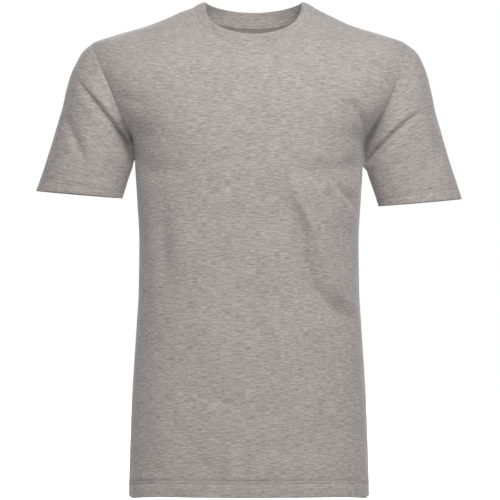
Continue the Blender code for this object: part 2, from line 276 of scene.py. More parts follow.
# Cloth finish
SEAM_TURN = 0.0045  # length of cloth turned in at a seam
SEAM_DIP = 0.0005
SEAM_GAP = 0.00004
ARMHOLE_CENTRE = (0.201, 0.134)  # x and drop that the armhole's seams turn in towards
SLEEVE_PRESS = 0.0012  # how far a sleeve is pressed past the body's edge where the two touch
HEM_DIP = 0.0011  # how deep the rows of stitches pull in at the body's hem
CUFF_DIP = 0.0008
HEM_TUCK = 0.002  # cloth turned up beyond the upper row of stitches
HEM_FOLD_RADIUS = 0.0009
HEM_CORNER = 0.003  # rounds the hem's corners at the side seams
SLACK_HEIGHT = 0.0028  # of the slow unevenness all over
SLACK_SIZE = 0.085
RIPPLE_HEIGHT = 0.0006
RIPPLE_SIZE = 0.022
STITCH_ROW_GAP = 0.0042  # between the two rows of a twin-needle hem

# Flat width, length and area of the cloth that shows
PANEL_CUT = {"front": ((0.520, 0.735), 0.350), "back": ((0.525, 0.740), 0.355)}
SLEEVE_CUT = {"left": ((0.430, 0.245), 0.0765), "right": ((0.430, 0.235), 0.0750)}

# Mesh density
PANEL_NECK_COLUMNS = 56
PANEL_SHOULDER_COLUMNS = 50
PANEL_ROWS = 150
PANEL_ARMHOLE_ROWS = 64
SLEEVE_COLUMNS = 220
SLEEVE_ROWS = 120
BAND_COLUMNS = 260

# Stage
CAMERA_DISTANCE = 3.5
CAMERA_X = 0.0015
CAMERA_DROP = 0.366
VIEW_WIDTH = 0.7375  # width that the camera takes in at the shirt
SENSOR_WIDTH_MM = 36.0
FLOOR_CLEARANCE = 0.045
ROOM_LIGHT = 0.26  # strength of the even light from all round; the backdrop itself looks white
FLOOR_GLOW = 0.85  # lifts the floor to the backdrop's white
Light = namedtuple("Light", "name location target size power")
LIGHTS = (
    Light("key", (0.26, -1.35, 1.05), (0, 0, -0.22), (0.9, 0.7), 27),
    Light("fill", (0.26, -2.8, -0.10), (0, 0, -0.30), (1.6, 1.2), 31),
    Light("back_key", (-0.50, 1.70, 0.95), (0, 0, -0.30), (1.2, 0.9), 28),
    Light("back_fill", (0.70, 2.7, -0.15), (0, 0, -0.35), (1.6, 1.2), 18),
    # weak, for the daylight that comes through the cloth at the back of the neck
    Light("inner", (0.0, -0.02, -0.16), (0, 0.07, -0.03), (0.10, 0.06), 0.12),
)


def length_setting(name, description, default):
    return bpy.props.FloatProperty(
        name=name, description=description, default=default, unit="LENGTH", precision=5
    )


def colour_setting(name, description, default):
    return bpy.props.FloatVectorProperty(name=name, description=description, default=default, subtype="COLOR")


class ShirtSizes(bpy.types.PropertyGroup):
    """Sizes of the cloth, its hems and its stitches."""

    jersey: length_setting("Jersey", "Thickness of the jersey", 0.0009)
    rib: length_setting("Rib", "Thickness of the folded neckband", 0.0020)
    body_hem: length_setting("Body hem", "Depth of the turned hem", 0.0235)
    cuff_hem: length_setting("Cuff hem", "Depth of each turned cuff", 0.0175)
    stitch: length_setting("Stitch", "Distance between stitches", 0.0031)
    thread: length_setting("Thread", "Thickness of the sewing thread", 0.00042)


class ShirtColours(bpy.types.PropertyGroup):
    """Colours of the fibres and of the stage."""

    light_fibre: colour_setting("Light fibre", "Palest fibres of the marl", (0.50, 0.462, 0.442))
    dark_fibre: colour_setting("Dark fibre", "Darkest fibres of the marl", (0.150, 0.134, 0.126))
    thread: colour_setting("Thread", "Sewing thread", (0.21, 0.193, 0.183))
    floor: colour_setting("Floor", "Studio floor", (0.62, 0.62, 0.62))


def smooth_step(value):
    value = np.clip(value, 0, 1)
    return value * value * (3 - 2 * value)


def smooth_curve(at, values, where):
    """A curve through the rows of a table that never overshoots them, read at each place in where."""
    widths = np.diff(at)
    slopes = np.diff(values) / widths
    product = slopes[:-1] * slopes[1:]
    total = np.where(product > 0, slopes[:-1] + slopes[1:], 1.0)
    inner = np.where(product > 0, 2 * product / total, 0.0)
    tangents = np.concatenate([slopes[:1], inner, slopes[-1:]])
    index = np.clip(np.searchsorted(at, where) - 1, 0, len(widths) - 1)
    t = (where - at[index]) / widths[index]
    rise = values[index + 1] - values[index]
    start, end = tangents[index] * widths[index], tangents[index + 1] * widths[index]
    return values[index] + start * t + (3 * rise - 2 * start - end) * t**2 + (start + end - 2 * rise) * t**3


def section(column, drop):
    """One column of SECTIONS at each drop."""
    rows = sorted(SECTIONS)
    at = np.array([row.drop for row in rows])
    values = np.array([getattr(row, column) for row in rows])
    return smooth_curve(at, values, np.clip(drop, at[0], at[-1]))


def form_depth(x, drop, side):
    """How far the form's surface is in front of, or behind, the side seams' plane."""
    reach = np.abs(x - section("centre", drop)) / section("half_width", drop)
    bow = np.clip(1 - np.clip(reach, 0, 1) ** BODY_SQUARENESS, 0, 1) ** (1 / BODY_SQUARENESS)
    return section(side, drop) * bow


def shoulder_drop(x):
    """The drop of the shoulder line at x: where the form's sections are exactly that wide."""
    drops = np.linspace(0, SHOULDER_TIP_DROP, 800)
    found = np.empty_like(x)
    for side in (-1, 1):
        edge = side * section("centre", drops) + section("half_width", drops)
        here = np.where(x > 0, 1, -1) == side
        found[here] = np.interp(np.abs(x[here]), edge, drops)
    return found


def rounded(sine):
    """0 at the neck points and 1 at centre front and back, with no crease between the two."""
    soft = NECK_POINT_ROUNDING
    return (np.sqrt(sine**2 + soft**2) - soft) / (math.sqrt(1 + soft**2) - soft)


def neck_seam_drop(angle, side, half_width=NECK_SEAM_HALF_WIDTH, lower=0.0):
    """The drop of the neck seam at an angle round the neck."""
    point = shoulder_drop(NECK_CENTRE_X + half_width * np.sign(np.cos(angle)))
    return point + (NECK_SEAM_DROP[side] + lower - point) * rounded(np.abs(np.sin(angle)))


def armhole_x(drop):
    """The armhole is a straight line from the shoulder tip to the armpit, seen from the front."""
    return np.interp(drop, [SHOULDER_TIP_DROP, ARMPIT_DROP], [SHOULDER_TIP_X, ARMPIT_X])


def smooth_line(points, steps=6):
    """A Catmull-Rom line through the points, as an array of (x, drop)."""
    known = np.array(points)
    known = np.concatenate([2 * known[:1] - known[1:2], known, 2 * known[-1:] - known[-2:-1]])
    found = []
    for before, start, end, after in zip(known, known[1:], known[2:], known[3:]):
        for t in np.arange(steps) / steps:
            found.append(
                0.5 * (2 * start + (end - before) * t + (2 * before - 5 * start + 4 * end - after) * t**2
                       + (3 * start - before - 3 * end + after) * t**3)
            )
    return np.array(found + [known[-2]])


def fold_sink(x, drop, folds):
    """How far the cloth sinks at each point because of the folds."""
    sunk = np.zeros_like(x)
    for fold in folds:
        line = smooth_line(fold.line)
        depths = np.interp(np.linspace(0, 1, len(line)), np.linspace(0, 1, len(fold.depths)), fold.depths)
        nearest, side, depth = np.full_like(x, np.inf), np.zeros_like(x), np.zeros_like(x)
        for (x0, drop0), (run_x, run_drop), deep, deeper in zip(line, np.diff(line, axis=0), depths, depths[1:]):
            t = np.clip(((x - x0) * run_x + (drop - drop0) * run_drop) / (run_x**2 + run_drop**2), 0, 1)
            off_x, off_drop = x - x0 - t * run_x, drop - drop0 - t * run_drop
            distance = np.hypot(off_x, off_drop)
            closer = distance < nearest
            nearest = np.where(closer, distance, nearest)
            side = np.where(closer, np.sign(off_x * run_drop - off_drop * run_x), side)
            depth = np.where(closer, deep + (deeper - deep) * t, depth)
        away = nearest / (fold.half_width * (1 + fold.lean * side))
        soft, pinched = np.exp(-(away**2)), np.exp(-1.3 * away)
        sunk += depth * (soft + (pinched - soft) * fold.sharp)
    return sunk


def unevenness(points, seed):
    """The slow waves of slack cloth and its fine ripples, as a height at each point."""
    flat = points.reshape(-1, 3)
    heights = np.empty(len(flat))
    shift = Vector((seed * 7.3, seed * 3.1, seed * 5.7))
    for number, point in enumerate(flat):
        place = Vector(point)
        slow = noise.noise(place / SLACK_SIZE + shift)
        fine = noise.noise(place / RIPPLE_SIZE + shift)
        heights[number] = SLACK_HEIGHT * slow + RIPPLE_HEIGHT * fine
    return heights.reshape(points.shape[:2])


def grid_normals(points, tube=False):
    """Outward normals of a grid whose rows run to the left of its outside and whose columns run up."""
    if tube:
        wrapped = np.concatenate([points[:, -2:-1], points, points[:, 1:2]], axis=1)
        across = wrapped[:, 2:] - wrapped[:, :-2]
    else:
        across = np.gradient(points, axis=1)
    normals = np.cross(across, np.gradient(points, axis=0))
    return normals / np.maximum(np.linalg.norm(normals, axis=-1, keepdims=True), 1e-12)


def cloth_lengths(points):
    """(u, v) in metres at each point: along the courses from the middle, and up the wales from the edge."""
    across = np.linalg.norm(np.diff(points, axis=1)[..., :2], axis=-1)
    up = np.linalg.norm(np.diff(points, axis=0), axis=-1)
    u = np.concatenate([np.zeros((len(points), 1)), np.cumsum(across, axis=1)], axis=1)
    v = np.concatenate([np.zeros((1, points.shape[1])), np.cumsum(up, axis=0)], axis=0)
    return np.stack([u - u[:, u.shape[1] // 2, None], v], axis=-1)


def panel_lengths(points):
    """(u, v) in metres on a panel, whose courses run level from one side to the other."""
    u = cloth_lengths(points)[..., 0]
    middle = points[:, points.shape[1] // 4]
    middle = middle[np.argmin(middle[:, 2]) : -1]
    rise = np.concatenate([[0.0], np.cumsum(np.linalg.norm(np.diff(middle, axis=0), axis=-1))])
    v = np.interp(points[..., 2], middle[:, 2], rise)
    above = np.maximum(points[..., 2] - middle[:, 2].max(), 0)
    return np.stack([u, v + 1.6 * above], axis=-1)


def sleeve_lengths(points):
    """(u, v) in metres on a sleeve, whose courses run parallel to its cuff."""
    cuff = points[-1, :-1]
    outer, inner = cuff[np.argmax(np.abs(cuff[:, 0]))], cuff[np.argmin(np.abs(cuff[:, 0]))]
    across = (outer - inner) / np.linalg.norm(outer - inner)
    up = np.array([-across[2], 0.0, across[0]]) * np.sign(across[0])
    middle = (outer + inner) / 2
    v = (points - middle) @ up
    centre = points[:, :-1].mean(axis=1, keepdims=True)
    turn = np.unwrap(np.arctan2(points[..., 1], (points - centre) @ across), axis=1)
    around = np.linalg.norm(np.diff(cuff, axis=0), axis=1).sum()
    return np.stack([turn * around / (2 * math.pi), v], axis=-1)


def make_mesh(name, points, uv, material, tube=False, ring=False):
    """A piece from a grid of points. A tube closes across its columns, and a ring also across its rows."""
    rows, columns = points.shape[:2]
    used_columns = columns - 1 if tube else columns
    used_rows = rows - 1 if ring else rows
    r, c = (part.ravel() for part in np.mgrid[0 : rows - 1, 0 : columns - 1])
    corners = ((r, c), (r, c + 1), (r + 1, c + 1), (r + 1, c))
    faces = np.stack([row % used_rows * used_columns + col % used_columns for row, col in corners], axis=1)
    mesh = bpy.data.meshes.new(name)
    mesh.from_pydata(points[:used_rows, :used_columns].reshape(-1, 3).tolist(), [], faces.tolist())
    layer = mesh.uv_layers.new(name="cloth")
    layer.data.foreach_set("uv", np.stack([uv[row, col] for row, col in corners], axis=1).ravel())
    mesh.shade_smooth()
    mesh.materials.append(material)
    piece = bpy.data.objects.new(name, mesh)
    bpy.context.scene.collection.objects.link(piece)
    return piece


def select_only(piece):
    if bpy.context.mode != "OBJECT":
        bpy.ops.object.mode_set(mode="OBJECT")
    bpy.ops.object.select_all(action="DESELECT")
    piece.select_set(True)
    bpy.context.view_layer.objects.active = piece


def give_wall(piece, thickness):
    """Gives a sheet its thickness, on its inner side."""
    select_only(piece)
    wall = piece.modifiers.new("wall", "SOLIDIFY")
    wall.thickness = thickness
    wall.offset = -1
    wall.use_even_offset = False
    bpy.ops.object.modifier_apply(modifier=wall.name)


def towards(points, target):
    away = target - points
    return away / np.maximum(np.linalg.norm(away, axis=-1, keepdims=True), 1e-9)


def panel_shares():
    """Where a body panel's columns lie across it, as shares of its half width: over the body, and at its top edge."""
    neck_angle = np.linspace(math.pi, 0, PANEL_NECK_COLUMNS + 1)
    neck = (NECK_CENTRE_X + NECK_SEAM_HALF_WIDTH * np.cos(neck_angle)) / SHOULDER_TIP_X
    turn = np.linspace(0, 1, PANEL_SHOULDER_COLUMNS + 1)[1:]
    right_start, left_start = math.asin(-neck[0]), math.asin(neck[-1])
    right = -np.sin(right_start + (math.pi / 2 - right_start) * turn)[::-1]
    left = np.sin(left_start + (math.pi / 2 - left_start) * turn)
    at_top = np.concatenate([right, neck, left])
    even = np.sin(math.pi / 2 * np.linspace(-1, 1, len(at_top)))
    return even, at_top, neck_angle


def bow_armhole(points):
    """Curves the left armhole outwards by moving the cloth on both sides of it."""
    x, drop = points[..., 0], -points[..., 2]
    share = np.clip((drop - SHOULDER_TIP_DROP) / (ARMPIT_DROP - SHOULDER_TIP_DROP), 0, 1)
    near = np.exp(-(((x - armhole_x(drop)) / 0.035) ** 2))
    bowed = points.copy()
    bowed[..., 0] += LEFT_ARMHOLE_BOW * 4 * share * (1 - share) * near
    return bowed


def press_to_body(points, lowest):
    """Brings a sleeve's inner edge against the body's side, down to the lowest drop where they touch."""
    x, drop = points[..., 0], -points[..., 2]
    edge = section("half_width", drop) - SLEEVE_PRESS
    inner = np.abs(x) - edge
    row_gap = np.maximum(inner.min(axis=1, keepdims=True), 0)
    near = np.exp(-((np.maximum(inner - row_gap, 0) / 0.010) ** 2))
    pull = smooth_step((lowest - drop) / 0.010) * smooth_step((drop - ARMPIT_DROP + 0.006) / 0.008)
    pressed = points.copy()
    pressed[..., 0] -= np.sign(x) * row_gap * near * pull
    return pressed


def lay_in(points, normals, sink, edge_share):
    """Sinks the cloth along its normals or, as it nears an edge (share 1), straight towards the side seams' plane."""
    y = points[..., 1:2]
    plane = np.concatenate([0 * y, np.sign(y), 0 * y], axis=-1)
    direction = normals * (1 - edge_share[..., None]) + plane * edge_share[..., None]
    most = 0.8 * np.abs(y[..., 0]) + 0.1 * (1 - edge_share)
    laid = points - direction * np.minimum(sink, most)[..., None]
    for folds in ARMHOLE_FOLDS.values():
        laid[..., 1] *= 1 - np.minimum(fold_sink(laid[..., 0], -laid[..., 2], folds), 0.96)
    return laid


def hem_rows(lowest, hem_depth):
    """How far the rows of a hem's cloth are above its edge, with rows on and beside both rows of stitches."""
    lower_row = hem_depth - STITCH_ROW_GAP + np.array([-0.0015, 0.0, 0.0015])
    return np.concatenate([lowest, lower_row, hem_depth + np.array([-0.0013, 0.0, 0.0015, 0.004])])


def stitch_lines(draped, normals, levels, hem_depth, thread):
    """The lines that a hem's two rows of stitches follow, a little above the cloth."""
    rows = [int(np.argmin(np.abs(levels - level))) for level in (hem_depth, hem_depth - STITCH_ROW_GAP)]
    return [draped[row] + normals[row] * thread * 0.25 for row in rows]


def panel_points(side, hem_depth):
    """Rows of points from the hem up to the shoulder and neck seams, each from the right to the left."""
    shares, top_shares, neck_angle = panel_shares()
    lift = HEM_FRONT_LIFT if side == "front" else 0.0
    hem_drops = SECTIONS[0].drop - lift * (1 - shares**HEM_LIFT_SHAPE)
    height = SECTIONS[0].drop - ARMPIT_DROP
    hem_levels = hem_rows([0.0, 0.0012, 0.003, 0.006, 0.010, 0.014], hem_depth)
    levels = np.concatenate([hem_levels, np.linspace(hem_levels[-1], height, PANEL_ROWS)[1:]])
    x_rows, drop_rows = [], []
    for up in levels / height:
        drops = hem_drops + (ARMPIT_DROP - hem_drops) * up
        x_rows.append(section("half_width", drops) * shares)
        drop_rows.append(drops)
    top = shoulder_drop(top_shares * SHOULDER_TIP_X)
    top[PANEL_SHOULDER_COLUMNS : PANEL_SHOULDER_COLUMNS + PANEL_NECK_COLUMNS + 1] = neck_seam_drop(neck_angle, side)
    rise = np.linspace(0, 1, PANEL_ARMHOLE_ROWS + 1)[1:]
    for up in 0.6 * rise + 0.2 * (1 - np.cos(math.pi * rise)):
        drops = ARMPIT_DROP + (top - ARMPIT_DROP) * up
        edge = ARMPIT_DROP + (SHOULDER_TIP_DROP - ARMPIT_DROP) * up
        x_rows.append(armhole_x(edge) * (shares + (top_shares - shares) * smooth_step(up)))
        drop_rows.append(drops)
    x, drop = np.array(x_rows), np.array(drop_rows)
    y = form_depth(x, drop, side) + SEAM_GAP / 2
    return np.stack([x, -y if side == "front" else y, -drop], axis=-1), levels


def drape_panel(points, normals, side, levels, hem_depth):
    """The folds, slack, hem and seam lines of a body panel, laid into its points."""
    x, drop = points[..., 0], -points[..., 2]
    sink = fold_sink(x, drop, FRONT_FOLDS if side == "front" else BACK_FOLDS)
    shares, _, _ = panel_shares()
    edge_fade = smooth_step((1 - np.abs(shares)) / 0.04)[None, :]
    sink *= edge_fade
    top_fade = np.ones(len(points))
    top_fade[-6:] = np.linspace(1, 0, 7)[1:]
    sink += unevenness(points, 1 if side == "front" else 2) * edge_fade * top_fade[:, None]
    hem = np.zeros(len(levels))
    for row_level in (hem_depth, hem_depth - STITCH_ROW_GAP):
        hem += HEM_DIP * np.exp(-(((levels - row_level) / 0.0012) ** 2))
    hem -= 0.0010 * smooth_step((hem_depth - STITCH_ROW_GAP - levels) / 0.008)
    hem -= 0.0006 * np.exp(-(((levels - hem_depth - 0.005) / 0.003) ** 2))
    sink[: len(levels)] += hem[:, None] * edge_fade
    pucker = np.exp(-(((levels - hem_depth) / 0.006) ** 2))[:, None]
    run = cloth_lengths(points)[: len(levels), :, 0]
    sink[: len(levels)] += 0.00018 * pucker * edge_fade * np.sin(run / 0.0125 * 2 * math.pi + 1.7 * np.sin(run / 0.05))
    near_edge = np.broadcast_to(smooth_step((np.abs(shares) - 0.86) / 0.12), sink.shape)
    draped = lay_in(points, normals, sink, near_edge)
    corner = smooth_step((np.abs(shares) - 0.96) / 0.04) * np.exp(-levels[:, None] / 0.006)
    draped[: len(levels), :, 2] += HEM_CORNER * corner
    return draped


def add_hem_fold(points, normals, depth):
    """Turns the cloth up inside below the first row. Rows are put before the grid's own."""
    edge, normal = points[0], normals[0]
    down = np.array([0.0, 0.0, -1.0])
    radius = HEM_FOLD_RADIUS
    rows = []
    inner = points - normals * 2 * radius
    count = int(np.argmin(np.abs(np.linalg.norm(points[:, len(edge) // 2] - edge[len(edge) // 2], axis=-1) - depth)))
    for number in range(count, 0, -1):
        rows.append(inner[number])
    for angle in np.linspace(0, math.pi, 6)[1:-1]:
        rows.append(edge - normal * radius * (1 + math.cos(angle)) + down * radius * math.sin(angle))
    return np.concatenate([np.array(rows), points], axis=0)


def build_panel(side, sizes, material):
    """A body panel with its folds, turned hem and turned-in seams, and its stitch rows."""
    hem_depth = sizes.body_hem
    base, levels = panel_points(side, hem_depth)
    order = slice(None, None, -1 if side == "back" else 1)  # the back's columns run the other way
    base = bow_armhole(base)
    normals = grid_normals(base[:, order])[:, order]
    draped = drape_panel(base, normals, side, levels, hem_depth)[:, order]
    normals = grid_normals(draped)
    lines = stitch_lines(draped, normals, levels, hem_depth, sizes.thread)
    points = add_panel_seams(add_hem_fold(draped, normals, hem_depth + HEM_TUCK))
    piece = make_mesh(side + "_jersey", points, panel_lengths(points), material)
    give_wall(piece, sizes.jersey)
    return piece, lines


def add_panel_seams(points):
    """Turns the cloth in along both side edges and along the top."""
    height = np.arange(len(points))
    keep = smooth_step((len(points) - 1 - height) / 6) * smooth_step((height - 10) / 8)
    columns = []
    for edge, beside in ((points[:, 0], points[:, 1]), (points[:, -1], points[:, -2])):
        drop = -edge[:, 2]
        sign = np.sign(edge[:, :1])
        in_armhole = smooth_step((ARMPIT_DROP + 0.01 - drop) / 0.02)[:, None]
        hole = np.concatenate([sign * ARMHOLE_CENTRE[0], 0 * sign, 0 * sign - ARMHOLE_CENTRE[1]], axis=1)
        middle = np.concatenate([-sign, 0 * sign, 0 * sign], axis=1)
        inward = towards(edge, hole) * in_armhole + middle * (1 - in_armhole)
        dipped = edge + inward * SEAM_DIP
        columns.append((dipped, edge + inward * (SEAM_DIP + SEAM_TURN * keep[:, None])))
    body = points.copy()
    body[:, 0], body[:, -1] = columns[0][0], columns[1][0]
    near = [points[:, 0] * 0.55 + points[:, 1] * 0.45, points[:, -1] * 0.55 + points[:, -2] * 0.45]
    grid = np.concatenate(
        [columns[0][1][:, None], body[:, :1], near[0][:, None], body[:, 1:-1], near[1][:, None], body[:, -1:],
         columns[1][1][:, None]],
        axis=1,
    )
    top = grid[-1].copy()
    across = smooth_step(np.minimum(np.arange(grid.shape[1]), np.arange(grid.shape[1])[::-1]) / 6)
    neck = smooth_step((NECK_SEAM_HALF_WIDTH + 0.004 - np.abs(top[:, 0] - NECK_CENTRE_X)) / 0.006)[:, None]
    inward = towards(top, np.array([NECK_CENTRE_X, 0, -0.12])) * neck + np.array([0, 0, -1.0]) * (1 - neck)
    grid[-1] = top + inward * SEAM_DIP * (1 - 0.9 * neck)
    turned = grid[-1] + inward * (SEAM_TURN * across[:, None])
    return np.concatenate([grid, turned[None]], axis=0)


def ring_rows(wearer_side):
    """The sleeve's rings from the armhole to the cuff, read finely from RINGS."""
    sizes = np.array(RINGS)
    down = np.linspace(0, 1, len(RINGS))
    if wearer_side == "left":
        sizes[:, [1, 3]] += LEFT_SLEEVE_EXTRA * down[:, None]
        sizes[:, 2] += LEFT_CUFF_OUT * down
    return down, sizes


def sleeve_points(wearer_side, hem_depth):
    """Rings of points from the armhole down to the cuff, each once round and back to its first point."""
    down, sizes = ring_rows(wearer_side)
    from_cuff = hem_rows([0.0, 0.0012, 0.003, 0.006], hem_depth)
    even = np.linspace(0, SLEEVE_LENGTH - from_cuff[-1], SLEEVE_ROWS)[:-1]
    places = np.concatenate([even, (SLEEVE_LENGTH - from_cuff)[::-1]])
    around = np.linspace(0, 2 * math.pi, SLEEVE_COLUMNS + 1)
    outward, forward = (1 + np.cos(around)) / 2, np.sin(around)
    rows = []
    for place in places / SLEEVE_LENGTH:
        outer_x, outer_drop, inner_x, inner_drop, front, back = (
            float(smooth_curve(down, sizes[:, column], np.array([place]))[0]) for column in range(6)
        )
        x = inner_x + (outer_x - inner_x) * outward
        drop = inner_drop + (outer_drop - inner_drop) * outward
        oval = np.where(forward > 0, front, back) * np.abs(forward)
        seam_drop = ARMPIT_DROP + (SHOULDER_TIP_DROP - ARMPIT_DROP) * outward
        in_front, behind = (form_depth(armhole_x(seam_drop), seam_drop, side) for side in ("front", "back"))
        seam = np.where(forward > 0, in_front, behind)
        depth = seam + (oval - seam) * smooth_step(place / CAP_BLEND)
        rows.append(np.stack([x + SEAM_GAP, np.where(forward > 0, -depth, depth), -drop], axis=-1))
    return np.array(rows), SLEEVE_LENGTH - places


def build_sleeve(wearer_side, sizes, material):
    """A sleeve with its folds, cuff hem and turned-in armhole seam, and its stitch rows."""
    hem_depth = sizes.cuff_hem
    base, levels = sleeve_points(wearer_side, hem_depth)
    if wearer_side == "left":
        base = bow_armhole(base)
    else:
        base[..., 0] *= -1
        base = base[:, ::-1]
    base = press_to_body(base, SLEEVE_TOUCH_DROP[wearer_side])
    normals = grid_normals(base, tube=True)
    x, y, drop = base[..., 0], base[..., 1], -base[..., 2]
    in_front = smooth_step(0.5 - y / 0.03)
    sink = fold_sink(x, drop, SLEEVE_FOLDS[wearer_side, "front"]) * in_front
    sink += fold_sink(x, drop, SLEEVE_FOLDS[wearer_side, "back"]) * (1 - in_front)
    seam_fade = smooth_step(np.arange(len(base)) / 8)[:, None]
    sink *= smooth_step(np.arange(len(base)) / 5)[:, None]
    inner_edge = np.exp(-(((np.abs(x) - ARMPIT_X) / 0.014) ** 2)) * smooth_step((0.262 - drop) / 0.02)
    sink += unevenness(base, 3 if wearer_side == "left" else 4) * seam_fade * (1 - inner_edge)
    sink -= 0.0004 * np.exp(-(((SLEEVE_LENGTH - levels - 0.005) / 0.0035) ** 2))[:, None]
    for row_level in (hem_depth, hem_depth - STITCH_ROW_GAP):
        sink += CUFF_DIP * np.exp(-(((levels - row_level) / 0.0011) ** 2))[:, None]
    draped = lay_in(base, normals, sink, np.maximum(inner_edge, 0.75))
    draped[:, -1] = draped[:, 0]
    normals = grid_normals(draped, tube=True)
    lines = stitch_lines(draped, normals, levels, hem_depth, sizes.thread)
    points = add_hem_fold(draped[::-1], normals[::-1], hem_depth + HEM_TUCK)[::-1]
    edge = points[0]
    sign = 1 if wearer_side == "left" else -1
    inward = towards(edge, np.array([sign * ARMHOLE_CENTRE[0], 0, -ARMHOLE_CENTRE[1]]))
    dipped = edge + inward * SEAM_DIP
    near = points[0] * 0.55 + points[1] * 0.45
    points = np.concatenate([(dipped + inward * SEAM_TURN)[None], dipped[None], near[None], points[1:]], axis=0)
    points[:, -1] = points[:, 0]
    piece = make_mesh(wearer_side + "_sleeve_jersey", points, sleeve_lengths(points), material, tube=True)
    give_wall(piece, sizes.jersey)
    return piece, lines


def neck_line(reach, seam_to_rim, angle, in_front):
    """Points round the neck: seam_to_rim is 0 at the seam and 1 at the rim, and reach widens the seam."""
    half_width = NECK_SEAM_HALF_WIDTH + reach
    swing = np.abs(np.sin(angle))
    seam_drop = np.where(
        in_front,
        neck_seam_drop(angle, "front", half_width, reach),
        neck_seam_drop(angle, "back", half_width, reach),
    )
    seam_x = NECK_CENTRE_X + half_width * np.cos(angle)
    seam_y = np.where(in_front, -form_depth(seam_x, seam_drop, "front"), form_depth(seam_x, seam_drop, "back"))
    rim_x = NECK_CENTRE_X + RIM_HALF_WIDTH * np.cos(angle)
    rim_y = np.where(in_front, -RIM_DEPTH["front"], RIM_DEPTH["back"]) * swing
    rim_drop = np.where(
        in_front, RIM_DROP["front"] * swing ** RIM_SHAPE["front"], RIM_DROP["back"] * swing ** RIM_SHAPE["back"]
    )
    seam = np.stack([seam_x, seam_y, -seam_drop], axis=-1)
    rim = np.stack([rim_x, rim_y, -rim_drop], axis=-1)
    return seam + (rim - seam) * seam_to_rim


def build_neckband(sizes, material):
    """The folded rib band: up its outer face, over the rim and down inside to its turned-down seam edge."""
    front = np.linspace(math.pi, 0, BAND_COLUMNS // 2 + 1)
    back = -np.linspace(0, math.pi, BAND_COLUMNS // 2 + 1)[1:]
    angle = np.concatenate([front, back])
    in_front = np.concatenate([np.ones(len(front), bool), np.zeros(len(back), bool)])
    seam = neck_line(0, 0.0, angle, in_front)
    rim = neck_line(0, 1.0, angle, in_front)
    under = neck_line(0.0065, 0.0, angle, in_front)
    up = towards(seam, rim)
    along = np.roll(seam, -1, axis=0) - np.roll(seam, 1, axis=0)
    along[0] = along[-1] = seam[1] - seam[-2]
    out = np.cross(along, up)
    out /= np.linalg.norm(out, axis=-1, keepdims=True)
    half = sizes.rib / 2
    rows = [seam - out * 0.0005, seam + up * 0.0003]
    for share in np.linspace(0.07, 0.90, 9):
        belly = 0.0010 * math.sin(math.pi * share)
        rows.append(seam + (rim - seam) * share + out * belly)
    top = rim - up * half - out * half
    for turn in np.linspace(0, math.pi, 7):
        rows.append(top + out * half * math.cos(turn) + up * half * math.sin(turn))
    for share in np.linspace(0.90, 0.06, 8):
        belly = 0.0006 * math.sin(math.pi * share)
        rows.append(seam + (rim - seam) * share - out * (sizes.rib - belly))
    low = towards(seam, under)
    for down, inside in ((0, 0.0006), (0.0010, 0.0006), (0.0018, 0.0002), (0.0020, -0.0004), (0.0012, -0.0006)):
        rows.append(seam + low * down - out * (sizes.rib + inside))
    rows.append(rows[0])
    points = np.array(rows)
    points[:, -1] = points[:, 0]
    return make_mesh("neckband_rib", points, cloth_lengths(points), material, tube=True, ring=True)


def one_stitch(sizes, material):
    """A single arched stitch of thread, lying along +X."""
    radius, length = sizes.thread / 2, sizes.stitch * 0.82
    bpy.ops.object.select_all(action="DESELECT")
    bpy.ops.mesh.primitive_circle_add(
        vertices=6, radius=radius * 0.5, fill_type="NGON", location=(0, 0, -radius), rotation=(0, math.pi / 2, 0)
    )
    stitch = bpy.context.object
    bpy.ops.object.transform_apply(location=True, rotation=True, scale=True)
    bpy.ops.object.mode_set(mode="EDIT")
    bpy.ops.mesh.select_all(action="SELECT")
    for step, rise, swell in ((0.10, radius * 1.1, 1.9), (0.40, radius * 0.5, 1.05), (0.40, -radius * 0.5, 1.0),
                              (0.10, -radius * 1.1, 0.5)):
        bpy.ops.mesh.extrude_region_move(TRANSFORM_OT_translate={"value": (length * step, 0, rise)})
        bpy.ops.transform.resize(value=(1, swell, swell))
    bpy.ops.mesh.select_all(action="SELECT")
    bpy.ops.mesh.normals_make_consistent(inside=False)
    bpy.ops.object.mode_set(mode="OBJECT")
    stitch.data.materials.append(material)
    return stitch


def sew(name, lines, sizes, material):
    """Rows of stitches along lines of points, joined into one piece."""
    sewn = []
    for line in lines:
        curve = bpy.data.curves.new(name + "_path", "CURVE")
        curve.dimensions = "3D"
        spline = curve.splines.new("POLY")
        spline.points.add(len(line) - 1)
        for place, point in zip(spline.points, line):
            place.co = (*point, 1.0)
        path = bpy.data.objects.new(name + "_path", curve)
        bpy.context.scene.collection.objects.link(path)
        stitch = one_stitch(sizes, material)
        stitch.name = name
        repeat = stitch.modifiers.new("repeat", "ARRAY")
        repeat.fit_type = "FIT_CURVE"
        repeat.curve = path
        repeat.use_relative_offset = False
        repeat.use_constant_offset = True
        repeat.constant_offset_displace = (sizes.stitch, 0, 0)
        follow = stitch.modifiers.new("follow", "CURVE")
        follow.object = path
        select_only(stitch)
        bpy.ops.object.modifier_apply(modifier=repeat.name)
        bpy.ops.object.modifier_apply(modifier=follow.name)
        bpy.data.objects.remove(path)
        sewn.append(stitch)
    select_only(sewn[0])
    for stitch in sewn[1:]:
        stitch.select_set(True)
    if len(sewn) > 1:
        bpy.ops.object.join()
    piece = bpy.context.object
    piece.name = name
    bpy.ops.object.transform_apply(location=True, rotation=True, scale=True)
    piece.data.shade_smooth()
    return piece


